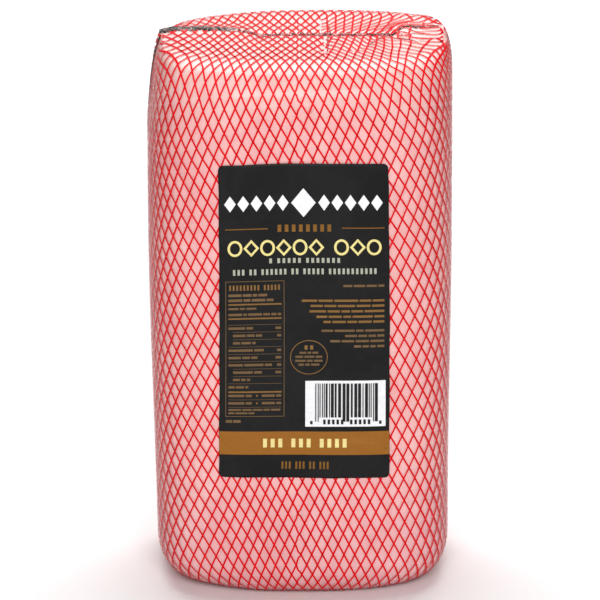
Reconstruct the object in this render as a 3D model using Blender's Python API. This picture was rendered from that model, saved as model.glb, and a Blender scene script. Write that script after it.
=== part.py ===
"""A large boneless cooked ham, vacuum packed in clear film printed with a diamond net.

The pack stands on its lower end, with its paper label to the front (-Y) and +Z up. The film is
a tube, drawn tight over the block of meat and sealed straight across its top end. The shape is
worked out row by row along that tube: a flat underside, a rounded lower edge, the walls, a
rounded shoulder, and a cap that closes onto the seal. All lengths are in metres.
"""
import math

import bmesh
import bpy
import numpy as np

# Driving dimensions of the block
HEIGHT = 0.3010
HALF_WIDTH = 0.0824
HALF_DEPTH = 0.0660
CORNER_POWER_LEFT = 3.9
CORNER_POWER_RIGHT = 2.9
FACE_POWER = 3.3

# Rounded lower edge: how far it reaches in from the side, in from the front, and up, and how
# much further in it comes at the corners, where the underside lifts clear
BASE_EDGE_LEFT = 0.0215
BASE_EDGE_RIGHT = 0.0190
BASE_EDGE_FRONT = 0.021
BASE_EDGE_UP = 0.023
BASE_EDGE_POWER = 2.1
BASE_CORNER_LEFT = 0.0105
BASE_CORNER_RIGHT = 0.0030
BASE_CORNER_START = 0.25
BASE_CORNER_SPAN = 0.55

# Lean of the sides at the top, most at the left, towards the ear of the seal
LEAN_LEFT = 0.0060
LEAN_RIGHT = 0.0008
LEAN_HEIGHT = 0.055
LEAN_POWER = 1.5

# Shoulder at the top: broad and round at the front, and tight at the left side, where the seal
# is drawn into an ear
SHOULDER_LEFT = 0.0021
SHOULDER_RIGHT = 0.0042
SHOULDER_FRONT = 0.0210
SHOULDER_BACK = 0.0340
SHOULDER_UP = 0.0205
SHOULDER_POWER = 2.05

# The seal across the top: how far back of the middle it lies, and how it bends
SEAM_BACK = 0.0020
SEAM_BACK_AT_LEFT = 0.0080
SEAM_BACK_AT_RIGHT = 0.0150
SEAM_EASE = 0.019
SEAM_TUCK = 0.0008
SEAM_TUCK_WIDTH = 0.0040
JUNCTION = 0.0463
JUNCTION_EASE = 0.011

# The seal stands up as a fin at its left end
FIN_RISE = 0.0013
FIN_END = -0.0286
FIN_EASE = 0.021
FIN_WIDTH = 0.0031
EAR_DROP = 0.0024
EAR_RUN = 0.017

# How the cap behind the seal drops away at the left and rises at its rim
BACK_START = 0.0080
BACK_RUN = 0.0290
BACK_RIM_RISE = 0.0020
BACK_RIM_START = 0.0180
BACK_RIM_RUN = 0.0220
BACK_LEFT_DROP = 0.0058
BACK_LEFT_START = 0.0038
BACK_LEFT_RUN = 0.103
BACK_RIGHT_RISE = 0.0017
BACK_RIGHT_START = 0.0592
BACK_RIGHT_RUN = 0.017

# Folds in the cap: gathers right of the junction, a pucker in the seal, and forward folds
GATHER_SLOPES = (0.42, -0.42)
GATHER_DEPTH = 0.0019
GATHER_EASE = 0.0060
GATHER_REACH = 0.027
PUCKER_PLACE = -0.0205
PUCKER_REACH = 0.0095
FORWARD_FOLDS = ((0.0158, 0.10), (0.0420, 0.42))
FORWARD_EASE = 0.0060
FORWARD_REACH = 0.034
FOLD_DEPTH = 0.0013
FOLD_WIDTH = 0.0043

# Ridge where the end of the seal turns down the left side
SIDE_FIN_LENGTH = 0.081
SIDE_FIN_RISE = 0.0012
SIDE_FIN_WIDTH = 0.0033

# Unevenness of the meat: its depth, and waves a metre across and up
LUMP = 0.0004
LUMP_ACROSS = 0.00015
LUMP_SIDE_WAVES = (43.0, 24.0)
LUMP_DEPTH_WAVES = (54.0, 32.0)
LUMP_PHASE = 1.3
LUMP_EASE = 0.055

# How far the sides draw in towards the foot
TAPER_LEFT = 0.0054
TAPER_LEFT_HEIGHT = 0.240
TAPER_LEFT_POWER = 1.7
TAPER_RIGHT = 0.0018
TAPER_RIGHT_HEIGHT = 0.270

# Label
LABEL_LEFT = -0.0438
LABEL_RIGHT = 0.0480
LABEL_BOTTOM = 0.0722
LABEL_TOP = 0.2473
LABEL_CORNER = 0.0026
LABEL_THICKNESS = 0.0004
LABEL_GAP = 0.0003

# Middle of the footprint, where the origin is put, from the middle of the plain section
FOOTPRINT_X = -0.00025
FOOTPRINT_Y = 0.0

# Mesh resolution
AROUND = 112
BASE_ROWS = 6
WALL_ROWS = 14
SHOULDER_ROWS = 7
CAP_STEPS = (0.14, 0.28, 0.42, 0.55, 0.67, 0.78, 0.87, 0.94)
LABEL_COLUMNS = 10
LABEL_ROWS = 12
LABEL_CORNER_STEPS = 3
CREASE_ANGLE = math.radians(40.0)

# Finishes
HAM_COLOUR = (0.83, 0.42, 0.42)
HAM_ROUGHNESS = 0.22
LABEL_COLOUR = (0.022, 0.021, 0.021)
LABEL_ROUGHNESS = 0.35


def smooth(value):
    """Ease from 0 to 1."""
    part = np.clip(value, 0.0, 1.0)
    return part * part * (3.0 - 2.0 * part)


def bump(distance, width):
    """A rounded bump, 1 at no distance."""
    return np.exp(-(distance / width) ** 2)


def unit_section(turn):
    """The cross-section for half sizes of 1: a bowed rectangle, rounder at its right corners."""
    across = np.cos(turn)
    along = np.sin(turn)
    power = np.where(across < 0.0, CORNER_POWER_LEFT, CORNER_POWER_RIGHT)
    x = np.sign(across) * np.abs(across) ** (2.0 / power)
    y = np.sign(along) * np.abs(along) ** (2.0 / FACE_POWER)
    return x, y


def even_turns(count):
    """Turns that space the points evenly round the section, mirrored front to back.

    The first is at the left side, and half of the rest follow along the front.
    """
    fine = np.linspace(math.pi, 2.0 * math.pi, 4001)
    x, y = unit_section(fine)
    steps = np.hypot(np.diff(x * HALF_WIDTH), np.diff(y * HALF_DEPTH))
    run = np.concatenate(([0.0], np.cumsum(steps)))
    half = np.interp(np.linspace(0.0, run[-1], count // 2 + 1), run, fine)
    return np.concatenate((half, 2.0 * math.pi - half[1:-1][::-1] + 2.0 * math.pi))


def edge_profile(part, power):
    """A quarter round: how far in and how far up it has come, each from 0 to 1."""
    angle = part * math.pi / 2.0
    inward = 1.0 - math.cos(angle) ** (2.0 / power)
    upward = math.sin(angle) ** (2.0 / power)
    return inward, upward


def seam_line(x):
    """How far back of the middle the seal runs, at a place across the top."""
    at_left = smooth((-x - SEAM_EASE) / SEAM_EASE)
    at_right = smooth((x - JUNCTION) / JUNCTION_EASE)
    line = SEAM_BACK + (SEAM_BACK_AT_LEFT - SEAM_BACK) * at_left
    return line + (SEAM_BACK_AT_RIGHT - SEAM_BACK) * at_right


def cap_relief(x, y):
    """Height of the folds on the cap, above or below its plain level."""
    off_seam = y - seam_line(x)
    tucked = smooth((x - FIN_END) / FIN_EASE) * smooth((JUNCTION + JUNCTION_EASE - x) / JUNCTION_EASE)
    relief = -SEAM_TUCK * tucked * bump(off_seam, SEAM_TUCK_WIDTH)
    raised = smooth((FIN_END - x) / FIN_EASE)
    relief = relief + FIN_RISE * raised * bump(off_seam, FIN_WIDTH)
    relief = relief + BACK_RIM_RISE * smooth((y - BACK_RIM_START) / BACK_RIM_RUN)
    behind = smooth((y - BACK_START) / BACK_RUN)
    relief = relief - BACK_LEFT_DROP * smooth((BACK_LEFT_START - x) / BACK_LEFT_RUN) * behind
    relief = relief + BACK_RIGHT_RISE * smooth((x - BACK_RIGHT_START) / BACK_RIGHT_RUN) * behind
    relief = relief - EAR_DROP * smooth((EAR_RUN - HALF_WIDTH - x) / EAR_RUN)
    # Gathers that run from the junction of the seal to the right-hand shoulder
    reach_x = x - JUNCTION
    for slope in GATHER_SLOPES:
        ahead = smooth(reach_x / GATHER_EASE) * smooth((GATHER_REACH - reach_x) / (2.0 * GATHER_EASE))
        relief = relief - GATHER_DEPTH * ahead * bump(y - SEAM_BACK - slope * reach_x, FOLD_WIDTH)
    # A pucker in the seal left of the middle, and two folds that run forward from it
    relief = relief - FOLD_DEPTH * bump(x - PUCKER_PLACE, FOLD_WIDTH) * bump(off_seam, PUCKER_REACH)
    forward = smooth(-off_seam / FORWARD_EASE) * smooth((FORWARD_REACH + off_seam) / FORWARD_EASE)
    for place, slope in FORWARD_FOLDS:
        relief = relief - FOLD_DEPTH * forward * bump(x - place - slope * off_seam, FOLD_WIDTH)
    return relief


def pack_point(turn, inset_left, inset_right, inset_front, inset_back, close, height):
    """A point on the film, in from the plain section by the insets and shut by close."""
    unit_x, unit_y = unit_section(turn)
    lean = np.clip(1.0 - (HEIGHT - height) / LEAN_HEIGHT, 0.0, 1.0) ** LEAN_POWER
    taper_left = TAPER_LEFT * np.clip(1.0 - height / TAPER_LEFT_HEIGHT, 0.0, 1.0) ** TAPER_LEFT_POWER
    taper_right = TAPER_RIGHT * np.clip(1.0 - height / TAPER_RIGHT_HEIGHT, 0.0, 1.0)
    inset_x = np.where(unit_x < 0.0, inset_left + LEAN_LEFT * lean + taper_left,
                       inset_right + LEAN_RIGHT * lean + taper_right)
    x = unit_x * (HALF_WIDTH - inset_x)
    y_open = unit_y * (HALF_DEPTH - np.where(unit_y < 0.0, inset_front, inset_back))
    y = y_open * (1.0 - close) + seam_line(x) * smooth(close)
    z = height + cap_relief(x, y) * smooth((height - HEIGHT + SHOULDER_UP) / SHOULDER_UP)
    # Slow swells in the meat, none of them near the two ends
    middle = smooth(height / LUMP_EASE) * smooth((HEIGHT - height) / LUMP_EASE)
    swell = np.sin(x * LUMP_SIDE_WAVES[0] + height * LUMP_SIDE_WAVES[1])
    swell = swell + np.sin(y * LUMP_DEPTH_WAVES[0] - height * LUMP_DEPTH_WAVES[1] + LUMP_PHASE)
    deeper = 1.0 + LUMP / HALF_DEPTH * swell * middle
    wider = 1.0 + LUMP_ACROSS / HALF_WIDTH * swell * middle
    # The end of the seal turns down the left side as a low ridge
    down = smooth((height - HEIGHT + SIDE_FIN_LENGTH) / SIDE_FIN_LENGTH)
    ridge = SIDE_FIN_RISE * down * bump(y - SEAM_BACK_AT_LEFT, SIDE_FIN_WIDTH)
    ridge = np.where(unit_x < 0.0, ridge, 0.0)
    x = x * wider - ridge * (1.0 - smooth(close * 4.0))
    return np.stack((x, y * deeper, z), axis=-1)


def pack_rows():
    """Rows of points from the edge of the flat underside up to the last row before the seal."""
    turns = even_turns(AROUND)
    unit_x, unit_y = unit_section(turns)
    corner = np.where(unit_x < 0.0, BASE_CORNER_LEFT, BASE_CORNER_RIGHT)
    front = BASE_EDGE_FRONT + corner * smooth((np.abs(unit_x) - BASE_CORNER_START) / BASE_CORNER_SPAN)
    rows = []
    for step in range(BASE_ROWS + 1):
        inward, upward = edge_profile(1.0 - step / BASE_ROWS, BASE_EDGE_POWER)
        rows.append(pack_point(turns, BASE_EDGE_LEFT * inward, BASE_EDGE_RIGHT * inward,
                               front * inward, front * inward, 0.0, BASE_EDGE_UP * (1.0 - upward)))
    for step in range(1, WALL_ROWS):
        height = BASE_EDGE_UP + (HEIGHT - SHOULDER_UP - BASE_EDGE_UP) * step / WALL_ROWS
        rows.append(pack_point(turns, 0.0, 0.0, 0.0, 0.0, 0.0, height))
    for step in range(SHOULDER_ROWS + 1):
        inward, upward = edge_profile(step / SHOULDER_ROWS, SHOULDER_POWER)
        rows.append(pack_point(turns, SHOULDER_LEFT * inward, SHOULDER_RIGHT * inward,
                               SHOULDER_FRONT * inward, SHOULDER_BACK * inward, 0.0,
                               HEIGHT - SHOULDER_UP * (1.0 - upward)))
    top = (SHOULDER_LEFT, SHOULDER_RIGHT, SHOULDER_FRONT, SHOULDER_BACK)
    for close in CAP_STEPS:
        rows.append(pack_point(turns, *top, close, HEIGHT))
    seal = pack_point(turns[:AROUND // 2 + 1], *top, 1.0, HEIGHT)
    return rows, seal


def mesh_object(name, points, faces, colour, roughness):
    """A named object with its own material, from points and faces, with its faces outward."""
    form = bmesh.new()
    verts = [form.verts.new((x - FOOTPRINT_X, y - FOOTPRINT_Y, z)) for x, y, z in points]
    for face in faces:
        form.faces.new([verts[index] for index in face])
    bmesh.ops.recalc_face_normals(form, faces=form.faces)
    mesh = bpy.data.meshes.new(name)
    form.to_mesh(mesh)
    form.free()
    mesh.shade_smooth()
    mesh.set_sharp_from_angle(angle=CREASE_ANGLE)
    material = bpy.data.materials.new(name + "_finish")
    material.use_nodes = True
    shader = material.node_tree.nodes["Principled BSDF"]
    shader.inputs["Base Color"].default_value = (*colour, 1.0)
    shader.inputs["Roughness"].default_value = roughness
    shader.inputs["Metallic"].default_value = 0.0
    mesh.materials.append(material)
    made = bpy.data.objects.new(name, mesh)
    bpy.context.scene.collection.objects.link(made)
    return made


def make_ham_pack():
    """The block of ham in its film: rows of points round the tube, closed onto the seal."""
    rows, seal = pack_rows()
    points = [tuple(point) for row in rows for point in row]
    first_seal = len(points)
    points.extend(tuple(point) for point in seal)
    faces = [tuple(range(AROUND))]
    for level in range(len(rows) - 1):
        start = level * AROUND
        for place in range(AROUND):
            after = (place + 1) % AROUND
            faces.append((start + place, start + after, start + AROUND + after, start + AROUND + place))
    start = (len(rows) - 1) * AROUND

    def on_seal(place):
        """The seal's point above a place round the section; front and back share them."""
        place = place % AROUND
        return first_seal + min(place, AROUND - place)

    for place in range(AROUND):
        after = (place + 1) % AROUND
        corners = [start + place, start + after, on_seal(after), on_seal(place)]
        faces.append(tuple(dict.fromkeys(corners)))
    return mesh_object("ham_pack", points, faces, HAM_COLOUR, HAM_ROUGHNESS)


def front_point(x, height, proud):
    """A point in front of the film by a distance, on the wall facing -Y."""
    turns = np.linspace(1.15 * math.pi, 1.85 * math.pi, 1401)
    section = pack_point(turns, 0.0, 0.0, 0.0, 0.0, 0.0, height)
    y = float(np.interp(x, section[:, 0], section[:, 1]))
    ahead = float(np.interp(x + 0.001, section[:, 0], section[:, 1]))
    slope = (ahead - y) / 0.001
    length = math.hypot(1.0, slope)
    return (x + proud * slope / length, y - proud / length, height)


def label_outline(x, height):
    """Pull a point of the label's rectangle in to its rounded corners."""
    middle_x = (LABEL_LEFT + LABEL_RIGHT) / 2.0
    middle_z = (LABEL_BOTTOM + LABEL_TOP) / 2.0
    square_x = (LABEL_RIGHT - LABEL_LEFT) / 2.0 - LABEL_CORNER
    square_z = (LABEL_TOP - LABEL_BOTTOM) / 2.0 - LABEL_CORNER
    over_x = abs(x - middle_x) - square_x
    over_z = abs(height - middle_z) - square_z
    if over_x <= 0.0 or over_z <= 0.0:
        return x, height
    reach = max(over_x, over_z)
    scale = reach / math.hypot(over_x, over_z)
    x = middle_x + math.copysign(square_x + over_x * scale, x - middle_x)
    height = middle_z + math.copysign(square_z + over_z * scale, height - middle_z)
    return x, height


def spaced(low, high, inner):
    """Places from low to high: a few across each rounded corner and even ones between."""
    corner = [LABEL_CORNER * step / LABEL_CORNER_STEPS for step in range(LABEL_CORNER_STEPS)]
    start = low + LABEL_CORNER
    run = high - low - 2.0 * LABEL_CORNER
    between = [start + run * step / inner for step in range(inner + 1)]
    return [low + c for c in corner] + between + [high - c for c in reversed(corner)]


def make_label():
    """The label: a thin sheet that follows the front of the pack, clear of the film."""
    across = spaced(LABEL_LEFT, LABEL_RIGHT, LABEL_COLUMNS)
    up = spaced(LABEL_BOTTOM, LABEL_TOP, LABEL_ROWS)
    points = []
    for proud in (LABEL_GAP, LABEL_GAP + LABEL_THICKNESS):
        for height in up:
            for x in across:
                points.append(front_point(*label_outline(x, height), proud))
    wide = len(across)
    tall = len(up)
    layer = wide * tall
    faces = []
    for row in range(tall - 1):
        for column in range(wide - 1):
            corner = row * wide + column
            back = (corner, corner + 1, corner + 1 + wide, corner + wide)
            faces.append(back)
            faces.append(tuple(index + layer for index in back))
    rim = [column for column in range(wide)]
    rim += [row * wide + wide - 1 for row in range(1, tall)]
    rim += [(tall - 1) * wide + column for column in range(wide - 2, -1, -1)]
    rim += [row * wide for row in range(tall - 2, 0, -1)]
    for place, index in enumerate(rim):
        after = rim[(place + 1) % len(rim)]
        faces.append((index, after, after + layer, index + layer))
    return mesh_object("label", points, faces, LABEL_COLOUR, LABEL_ROUGHNESS)


def main():
    """Clear the scene and build the two pieces."""
    for old in list(bpy.data.objects):
        bpy.data.objects.remove(old)
    make_ham_pack()
    make_label()


main()
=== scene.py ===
"""Looks of the vacuum-packed ham: pink cooked meat, clear glossy film drawn tight over it, the
diamond net printed on the film, the gathered end seal, and a dark label with plain fields.

The film is a tube. A place on it is given by two lengths: how far round the tube, from the
middle of the front, and how far along it, from the middle of the underside to the end seal.
All lengths are in metres.
"""
import math

import bmesh
import bpy
import numpy as np
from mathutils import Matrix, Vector

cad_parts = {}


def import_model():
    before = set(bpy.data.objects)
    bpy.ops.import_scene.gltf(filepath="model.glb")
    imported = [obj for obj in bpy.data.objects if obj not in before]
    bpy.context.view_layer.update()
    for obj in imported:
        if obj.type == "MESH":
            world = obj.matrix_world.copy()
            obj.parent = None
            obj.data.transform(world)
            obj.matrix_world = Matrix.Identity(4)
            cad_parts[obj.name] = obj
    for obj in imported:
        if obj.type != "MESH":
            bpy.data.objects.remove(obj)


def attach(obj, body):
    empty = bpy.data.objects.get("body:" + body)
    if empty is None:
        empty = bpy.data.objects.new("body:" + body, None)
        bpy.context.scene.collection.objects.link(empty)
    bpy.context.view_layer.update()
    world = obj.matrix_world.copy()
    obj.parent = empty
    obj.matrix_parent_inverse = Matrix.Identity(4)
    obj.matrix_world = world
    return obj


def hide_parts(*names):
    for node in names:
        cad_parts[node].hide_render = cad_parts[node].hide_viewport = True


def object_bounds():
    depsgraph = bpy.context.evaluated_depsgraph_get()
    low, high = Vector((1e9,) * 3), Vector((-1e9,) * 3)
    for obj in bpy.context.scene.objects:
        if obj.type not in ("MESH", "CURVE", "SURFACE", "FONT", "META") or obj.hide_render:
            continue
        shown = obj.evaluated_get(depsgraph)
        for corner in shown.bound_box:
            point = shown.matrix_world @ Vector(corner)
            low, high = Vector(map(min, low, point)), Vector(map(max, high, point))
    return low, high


# The block's form, as the solid has it. A pair is for the left and the right side
HEIGHT = 0.301
HALF_WIDTH = 0.0824
HALF_DEPTH = 0.066
CORNER_POWER_LEFT = 3.9
CORNER_POWER_RIGHT = 2.9
FACE_POWER = 3.3

# Rounded lower edge: how far it reaches in from the side, in from the front, and up, and how
# much further in it comes at the corners, where the underside lifts clear
BASE_EDGE_SIDE = (0.0215, 0.019)
BASE_EDGE_FRONT = 0.021
BASE_EDGE_UP = 0.023
BASE_EDGE_POWER = 2.1
BASE_CORNER = (0.0105, 0.003)
BASE_CORNER_START = 0.25
BASE_CORNER_SPAN = 0.55

# Lean of the sides at the top, most at the left, towards the ear of the seal
LEAN = (0.006, 0.0008)
LEAN_HEIGHT = 0.055
LEAN_POWER = 1.5

# Shoulder at the top: broad and round at the front, and tight at the left side, where the seal
# is drawn into an ear; and how far along the tube it is meshed finely
SHOULDER_SIDE = (0.0021, 0.0042)
SHOULDER_FRONT = 0.021
SHOULDER_BACK = 0.034
SHOULDER_UP = 0.0205
SHOULDER_POWER = 2.05
SHOULDER_RUN = 0.023

# The seal across the top: how far back of the middle it lies, and how it bends
SEAM_BACK = 0.002
SEAM_BACK_AT_LEFT = 0.008
SEAM_BACK_AT_RIGHT = 0.015
SEAM_EASE = 0.019
SEAM_TUCK = 0.0008
SEAM_TUCK_WIDTH = 0.004
JUNCTION = 0.0463
JUNCTION_EASE = 0.011

# The seal stands up as a fin at its left end
FIN_RISE = 0.0013
FIN_END = -0.0286
FIN_EASE = 0.021
FIN_WIDTH = 0.0031
EAR_DROP = 0.0024
EAR_RUN = 0.017

# How the cap behind the seal drops away at the left and rises at its rim
BACK_START = 0.008
BACK_RUN = 0.029
BACK_RIM_RISE = 0.002
BACK_RIM_START = 0.018
BACK_RIM_RUN = 0.022
BACK_LEFT_DROP = 0.0058
BACK_LEFT_START = 0.0038
BACK_LEFT_RUN = 0.103
BACK_RIGHT_RISE = 0.0017
BACK_RIGHT_START = 0.0592
BACK_RIGHT_RUN = 0.017

# Folds in the cap: gathers right of the junction, a pucker in the seal, and forward folds
GATHER_SLOPES = (0.42, -0.42)
GATHER_DEPTH = 0.0019
GATHER_EASE = 0.006
GATHER_REACH = 0.027
PUCKER_PLACE = -0.0205
PUCKER_REACH = 0.0095
FORWARD_FOLDS = ((0.0158, 0.1), (0.042, 0.42))
FORWARD_EASE = 0.006
FORWARD_REACH = 0.034
FOLD_DEPTH = 0.0013
FOLD_WIDTH = 0.0043

# Ridge where the end of the seal turns down the left side
SIDE_FIN_LENGTH = 0.081
SIDE_FIN_RISE = 0.0012
SIDE_FIN_WIDTH = 0.0033

# Unevenness of the meat: its depth, and waves a metre across and up
LUMP = 0.0004
LUMP_ACROSS = 0.00015
LUMP_SIDE_WAVES = (43.0, 24.0)
LUMP_DEPTH_WAVES = (54.0, 32.0)
LUMP_PHASE = 1.3
LUMP_EASE = 0.055

# How far the sides draw in towards the foot
TAPER = (0.0054, 0.0018)
TAPER_HEIGHT = (0.24, 0.27)
TAPER_POWER = (1.7, 1.0)

# Middle of the footprint, where the origin is put, across from the middle of the plain section
FOOTPRINT_X = -0.00025

# Fine ripples of the film beside the seal: their height, how far off the seal they reach, where
# they end towards the sides, and their waves a metre; and one small crease behind the seal
RIPPLE = 0.00022
RIPPLE_REACH = 0.009
RIPPLE_END = 0.075
RIPPLE_WAVES = (900.0, 170.0, 1730.0, 260.0)
BACK_CREASE = 0.0007
BACK_CREASE_PLACE = 0.0165
BACK_CREASE_SLOPE = -0.1
BACK_CREASE_WIDTH = 0.0022
BACK_CREASE_REACH = 0.04

# Label: its edges, its corners, how proud it stands, how much its edges waver, how thick it is,
# the size of the drawing that its print is laid out on, and the order of a face's corners there
LABEL_LEFT = -0.0438
LABEL_RIGHT = 0.048
LABEL_BOTTOM = 0.0722
LABEL_TOP = 0.2473
LABEL_CORNER = 0.0026
LABEL_PROUD = 0.00055
LABEL_WAVE = 0.0001
LABEL_THICK = 0.00018
LABEL_WIDTH = LABEL_RIGHT - LABEL_LEFT
LABEL_HEIGHT = LABEL_TOP - LABEL_BOTTOM
DRAWN_WIDTH = 94.0
DRAWN_HEIGHT = 180.0
FACING_OUT = (0, 3, 2, 1)

# Layers over and under the film: the least height of anything, the meat's depth under the film,
# how far the net's print, the label's print, its later layers and its stripes are lifted, how
# deep the seal's edges are sunk, and how close points have to be to be joined
FLOOR_CLEAR = 0.00025
MEAT_DEPTH = 0.0004
PRINT_LIFT = 0.00011
INK_LIFT = 0.00005
LATER_INK_LIFT = 0.0001
STRIPE_LIFT = 0.00028
SUNK = -0.0001
JOIN_SHELL = 0.00002
JOIN_PRINT = 0.000004

# The printed net: the width of its lines in front, how much wider they get at the sides and
# where, the distance between its crossings round the tube on the wall, and tables by distance
# from the seal along the tube: the distance between crossings along the tube, how tightly the
# film is gathered, how far the lattice leans, and how much its rows tilt across the front
NET_LINE = 0.00092
SIDE_WIDER = 0.4
SIDE_WIDER_FROM = 0.72
SIDE_WIDER_OVER = 0.24
NET_ROUND = 0.0062
NET_ALONG = (
    (0.0, 0.0115), (0.046, 0.0114), (0.05, 0.0102), (0.066, 0.0108), (0.073, 0.0125),
    (0.11, 0.0124), (0.16, 0.0121), (0.35, 0.012),
)
NET_GATHER = (
    (0.0, 1.155), (0.035, 1.145), (0.046, 1.13), (0.056, 1.08), (0.066, 1.04), (0.08, 1.01),
    (0.105, 0.99), (0.15, 1.0), (0.3, 1.03), (0.35, 1.05),
)
NET_LEAN = (
    (0.0, 0.01), (0.06, 0.0), (0.072, -0.09), (0.12, -0.112), (0.16, -0.08),
    (0.22, -0.058), (0.4, -0.046),
)
NET_TILT = (
    (0.0, 0.0), (0.058, 0.0), (0.074, 0.05), (0.11, 0.065), (0.2, 0.065),
    (0.27, 0.045), (0.33, 0.02), (0.4, 0.0),
)

# The grid that the net's lines are traced on: its step, and its finer columns at a crease; a
# known crossing's place round the tube and from the seal; the closest and the shortest pieces
# of line that are made; and how far each way a slope is measured
NET_STEP = 0.0016
NET_FINE_REACH = 0.0016
NET_FINE_COLUMNS = 17
NET_PLACE = (-0.0151, 0.061)
NET_CLOSEST = 0.0015
NET_SHORTEST = 1e-6
SLOPE_STEP = 0.0003

# At the two sides the net's rows run down from the ends of the seal: how soon below the top they
# have come round the shoulder, how far below it the distance from the seal on the end still
# counts, and how far the rows of either side hang lower, by the drop from the top
EDGE_RUN = 0.025
EDGE_CAP = 0.02
HANG_LEFT = (
    (0.0, 0.0), (0.04, 0.006), (0.1, 0.007), (0.15, 0.0062), (0.22, 0.0038),
    (0.3, 0.0028),
)
HANG_RIGHT = (
    (0.0, 0.0), (0.08, 0.0035), (0.11, 0.0045), (0.14, 0.0068), (0.3, 0.0076),
)

# How the film is stretched on either side of the front: a shape by distance from the middle,
# what it comes to at the side, where it starts on the back, and how strongly it shows, by
# distance from the seal, on the left and on the right
SIDE_SHAPE = (
    (0.0, 0.0), (0.03, 0.0), (0.045, 0.006), (0.06, 0.018), (0.075, 0.032),
    (0.088, 0.045), (0.1, 0.058), (0.112, 0.07), (0.1245, 0.078),
)
SIDE_END = 0.078
SIDE_START_BACK = 0.01
SIDE_LEFT = (
    (0.0, 0.0), (0.06, 0.0), (0.078, -0.08), (0.097, -0.02), (0.138, 0.03),
    (0.161, 0.065), (0.253, 0.11), (0.323, 0.15),
)
SIDE_RIGHT = (
    (0.0, 0.0), (0.078, 0.0), (0.097, 0.09), (0.138, 0.1), (0.161, 0.15),
    (0.323, 0.13),
)

# On the end the film runs straight across and the rest of it is tucked in at the sides: how far
# from the seal it does so, where that has faded, and how wide the tuck is
FLAT_TO = 0.04
FLAT_FADED_LEFT = 0.115
FLAT_FADED_RIGHT = 0.068
TUCK = 0.006

# Folds of the film on the end, each from one place to another on it as x and y, with how proud
# it stands, half its width, and how far it bows
FOLDS = (
    ("crease_front", (0.0149, 0.001), (0.0143, -0.034), 0.00025, 0.0004, 0.0003),
    ("crease_back", (0.0165, 0.0025), (0.0127, 0.04), 0.00025, 0.00038, -0.0004),
    ("gather_front", (0.048, 0.0035), (0.064, -0.0155), 0.0005, 0.00055, 0.0012),
    ("gather_middle", (0.047, 0.002), (0.0355, -0.0205), 0.00022, 0.0004, -0.0008),
    ("gather_back", (0.052, 0.006), (0.07, 0.001), 0.0003, 0.00045, 0.001),
    ("pucker", (-0.0205, 0.002), (-0.0205, -0.006), 0.0003, 0.0006, 0.0002),
)

# The strip of the sealed edge: its points, how far its ends go past the left and stop short of
# the right, where its left end thins and over what length, how soon the fork sinks it, and its
# waves and its chatter's a metre
SEAL_POINTS = 620
SEAL_PAST_LEFT = 0.0018
SEAL_SHORT_RIGHT = 0.001
SEAL_FIN_END = -0.026
SEAL_FIN_EASE = 0.016
SEAL_FORK_EASE = 0.006
SEAL_WAVES = (610.0, 231.0)
SEAL_CHATTER = (2300.0, 3700.0)

# The strips of the folds and of the seal's ends on the side walls: their points, how far they
# waver and how often, the height of their edges, and how proud and how narrow the latter get
FOLD_POINTS = 70
FOLD_WAVER = 0.00018
FOLD_WAVES = 2600.0
FOLD_EDGE = 0.00006
SIDE_FIN_POINTS = 120
SIDE_FIN_WAVER = 0.0004
SIDE_FIN_WAVES = 11.0
SIDE_FIN_EDGE = 0.00004
SIDE_FIN_PROUD = 0.0004
SIDE_FIN_NARROW = 0.22

# How far the gathers and pulls at the seal reach towards the sides, from the middle
GATHER_FADE = 0.055
PULL_FADE = 0.066

# The film is drawn across at the crease of the end, all the way right of the middle, and at the
# fork of the seal: where, how far, how far from the seal that has gone, and over what width
CREASE = 0.0141
CREASE_SHIFT_FRONT = 0.0125
CREASE_SHIFT_BACK = 0.0135
CREASE_RUN = 0.047
CREASE_WIDTH = 0.0008
CREASE_WIDER = 0.02
CREASE_EASE = 0.008
DRAW_START = -0.002
DRAW_SHIFT = 0.009
DRAW_RUN = 0.085
DRAW_POWER = 1.3
DRAW_WIDTH = 0.06
JUNCTION_SHIFT = 0.005
JUNCTION_RUN = 0.03
JUNCTION_WIDTH = 0.02

# Camera, fitted to the photograph
CAMERA_DISTANCE = 5.0
CAMERA_ELEVATION = math.radians(18.3)
CAMERA_AIM = (0.00016, 0.0, 0.15)
CAMERA_RAISE = 0.00027
CAMERA_LENS = 551.5
CAMERA_SENSOR = 36.0

# Lights: name, place, aim, size and power
STAGE_MIDDLE = (0.0, 0.0, 0.16)
LIGHTS = (
    ("key", (0.12, -3.0, 1.5), STAGE_MIDDLE, (1.9, 1.2), 77.0),
    ("top", (0.0, 0.25, 2.0), STAGE_MIDDLE, (1.2, 1.0), 14.0),
    ("back", (0.0, 1.1, 1.7), (0.0, 1.0, 0.0), (2.0, 1.0), 29.0),
)
WORLD_LIGHT = 0.2
FLOOR_REACH = 6.0
FLOOR_COLOUR = (0.9, 0.9, 0.9, 1.0)

# Inks of the label's print
INKS = {
    "white": (0.84, 0.84, 0.86),
    "pale": (0.8, 0.68, 0.27),
    "cream": (0.42, 0.42, 0.34),
    "gold": (0.21, 0.094, 0.014),
    "orange": (0.22, 0.112, 0.03),
    "brown": (0.155, 0.09, 0.038),
    "black": (0.012, 0.012, 0.012),
    "band": (0.3, 0.112, 0.011),
}


def smooth(value):
    """Ease from 0 to 1."""
    part = np.clip(value, 0.0, 1.0)
    return part * part * (3.0 - 2.0 * part)


def bump(distance, width):
    """A rounded bump, 1 at no distance."""
    return np.exp(-(distance / width) ** 2)


def unit_section(turn):
    """The cross-section for half sizes of 1: a bowed rectangle, rounder at its right corners."""
    across = np.cos(turn)
    along = np.sin(turn)
    power = np.where(across < 0.0, CORNER_POWER_LEFT, CORNER_POWER_RIGHT)
    x = np.sign(across) * np.abs(across) ** (2.0 / power)
    y = np.sign(along) * np.abs(along) ** (2.0 / FACE_POWER)
    return x, y


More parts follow.
